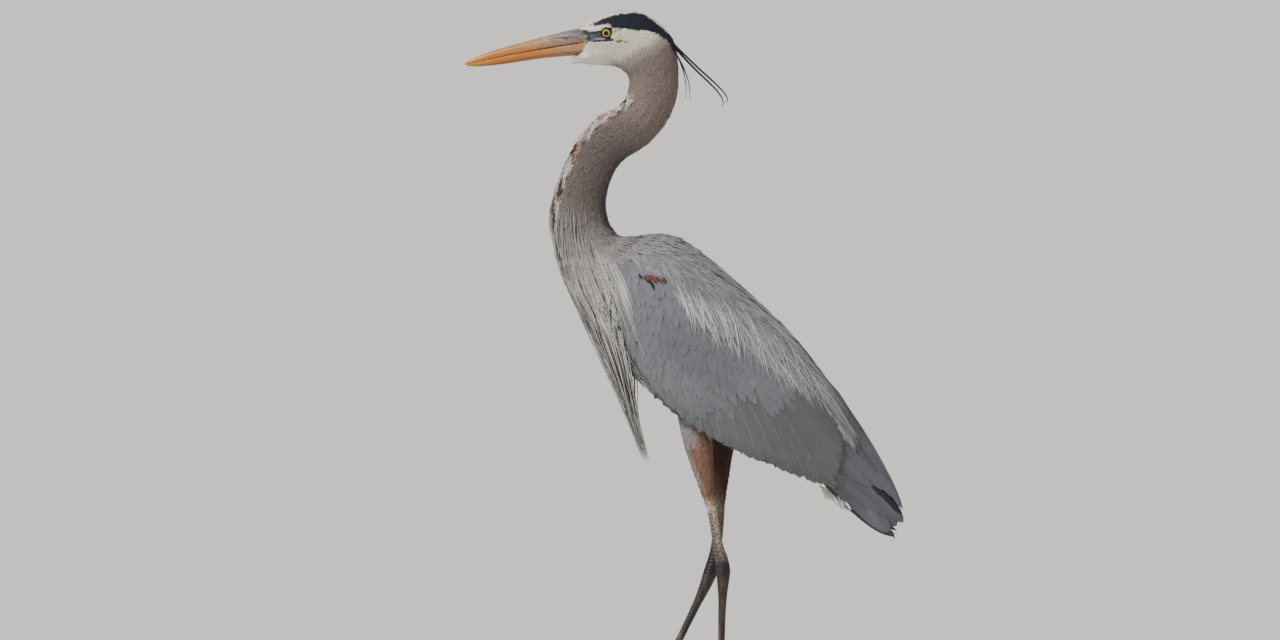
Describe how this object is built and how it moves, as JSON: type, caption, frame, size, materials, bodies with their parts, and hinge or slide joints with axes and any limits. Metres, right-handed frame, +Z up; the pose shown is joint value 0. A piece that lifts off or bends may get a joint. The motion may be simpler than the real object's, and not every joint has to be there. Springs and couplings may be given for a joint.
{
  "type": "great blue heron",
  "caption": "Life-size great blue heron standing in mid step, neck in an S, wings folded, with a dagger bill, trailing crest plumes and a beard of long breast plumes.",
  "frame": {"origin": "middle of the bird's box, on the floor it stands on", "axes": "+Z up; the bird faces -X, with its left side towards -Y"},
  "size_m": [0.5528, 0.1828, 0.8981],
  "materials": {
    "head_feather": "fine white feathers with a blue-black crown stripe",
    "neck_feather": "soft mauve-grey feathers, streaked black, white and rust down the front",
    "back_feather": "matt blue-grey feathers with pale lance-shaped plumes",
    "wing_feather": "matt slate blue-grey coverts and quills",
    "flight_feather": "matt dark slate quills",
    "breast_plume": "long loose pale grey plumes",
    "crest_plume": "glossy black hair-like plumes",
    "thigh_feather": "short cinnamon-rust feathers",
    "leg_skin": "dark brown scaled skin",
    "claw": "dark horn",
    "upper_bill_horn": "satin horn, mauve-grey to yellow",
    "lower_bill_horn": "satin orange-yellow horn",
    "eye": "wet yellow eye with a round black pupil"
  },
  "bodies": {
    "root": {"head": "head_feather", "upper_bill": "upper_bill_horn", "lower_bill": "lower_bill_horn", "left_eye": "eye", "right_eye": "eye", "crest_plume_left": "crest_plume", "crest_plume_right": "crest_plume", "crest_plume_short_left": "crest_plume", "crest_plume_short_right": "crest_plume", "neck_upper": "neck_feather", "neck_middle": "neck_feather", "neck_lower": "neck_feather", "trunk": "back_feather", "breast_plumes": "breast_plume", "tail": "flight_feather", "left_wing": "wing_feather", "right_wing": "wing_feather", "left_thigh": "thigh_feather", "left_shank": "leg_skin", "left_tarsus": "leg_skin", "left_foot": "leg_skin", "left_toe_middle": "leg_skin", "left_claw_middle": "claw", "left_toe_inner": "leg_skin", "left_claw_inner": "claw", "left_toe_outer": "leg_skin", "left_claw_outer": "claw", "left_toe_hind": "leg_skin", "left_claw_hind": "claw", "right_thigh": "thigh_feather", "right_shank": "leg_skin", "right_tarsus": "leg_skin", "right_foot": "leg_skin", "right_toe_middle": "leg_skin", "right_claw_middle": "claw", "right_toe_inner": "leg_skin", "right_claw_inner": "claw", "right_toe_outer": "leg_skin", "right_claw_outer": "claw", "right_toe_hind": "leg_skin", "right_claw_hind": "claw"}
  },
  "joints": []
}
